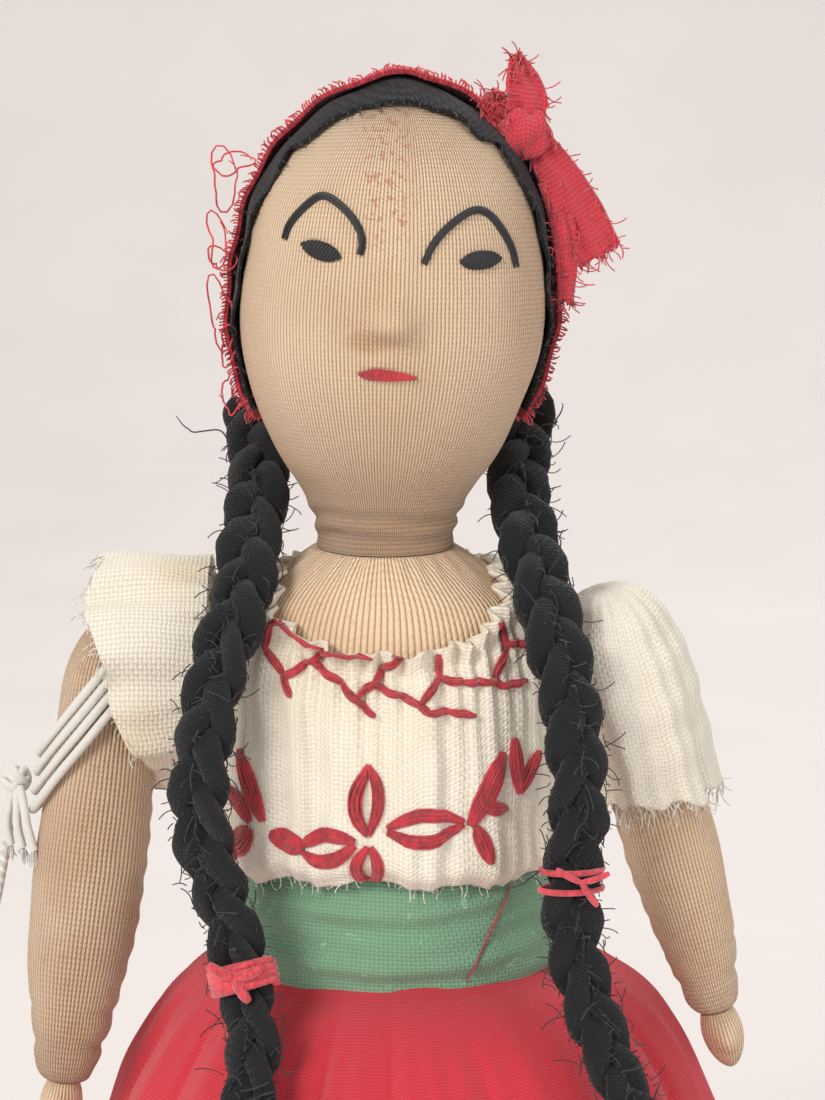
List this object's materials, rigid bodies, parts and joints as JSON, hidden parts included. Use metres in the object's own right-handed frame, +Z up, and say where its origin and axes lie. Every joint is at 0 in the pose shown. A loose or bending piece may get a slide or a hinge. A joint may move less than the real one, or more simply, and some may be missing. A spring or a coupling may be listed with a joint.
{
  "type": "cloth doll puppet",
  "caption": "Stuffed cloth puppet figure in a pleated skirt, gathered blouse and sash, with cloth braids, a turning head and swinging arms.",
  "frame": {"origin": "middle of the skirt's hem, on the surface that the figure stands on", "axes": "+Z up, -Y the way the face looks, -X the figure's own right"},
  "size_m": [0.1141, 0.11, 0.2062],
  "materials": {
    "stockinette": "ribbed tan cotton stockinette, matt",
    "stuffing": "off-white cotton stuffing, firmly packed",
    "dowel": "plain sanded softwood",
    "wire": "dull steel wire",
    "beads": "small turned wooden beads",
    "muslin": "unbleached cotton muslin, gathered",
    "red_floss": "stranded cotton embroidery thread, slight sheen",
    "black_floss": "stranded cotton embroidery thread",
    "sash": "pale green soft woven cloth",
    "skirt": "bright red woven cotton, pleated",
    "black_cloth": "faded black woven cotton, torn edges",
    "red_cloth": "red woven cotton, frayed edges",
    "string": "soft white cotton string"
  },
  "bodies": {
    "torso": {"body_cover": "stockinette", "body_stuffing": "stuffing", "neck_dowel": "dowel", "shoulder_wire": "wire", "wire_beads": "beads", "blouse": "muslin", "neckline_stitches": "red_floss", "flower_embroidery": "red_floss", "waistband": "muslin", "waist_sash": "sash", "skirt": "skirt"},
    "head": {"head_cover": "stockinette", "head_stuffing": "stuffing", "nose_pad": "stockinette", "hair_cap": "black_cloth", "head_scarf": "red_cloth", "scarf_bow": "red_cloth", "brow_stitches": "black_floss", "eye_stitches": "black_floss", "mouth_stitches": "red_floss", "braid_right": "black_cloth", "braid_left": "black_cloth", "braid_tie_right": "red_cloth", "braid_tie_left": "red_cloth"},
    "arm_right": {"arm_right_cover": "stockinette", "arm_right_stuffing": "stuffing", "hand_right": "stockinette", "sleeve_right": "muslin", "string_loop": "string", "string_knot": "string", "string_tail": "string"},
    "arm_left": {"arm_left_cover": "stockinette", "arm_left_stuffing": "stuffing", "hand_left": "stockinette", "sleeve_left": "muslin"}
  },
  "joints": [
    {"name": "head_turn", "type": "hinge", "parent": "torso", "child": "head", "pos_m": [0, 0, 0.1544], "axis": [0, 0, 1], "range_deg": [-30, 30], "deforming": ["braid_right", "braid_left", "braid_tie_right", "braid_tie_left"]},
    {"name": "shoulder_right", "type": "hinge", "parent": "torso", "child": "arm_right", "pos_m": [-0.0294, 0, 0.1429], "axis": [-1, 0, 0], "range_deg": [-40, 90], "deforming": ["string_tail"]},
    {"name": "shoulder_left", "type": "hinge", "parent": "torso", "child": "arm_left", "pos_m": [0.0246, 0, 0.1429], "axis": [-1, 0, 0], "range_deg": [-40, 90]}
  ]
}
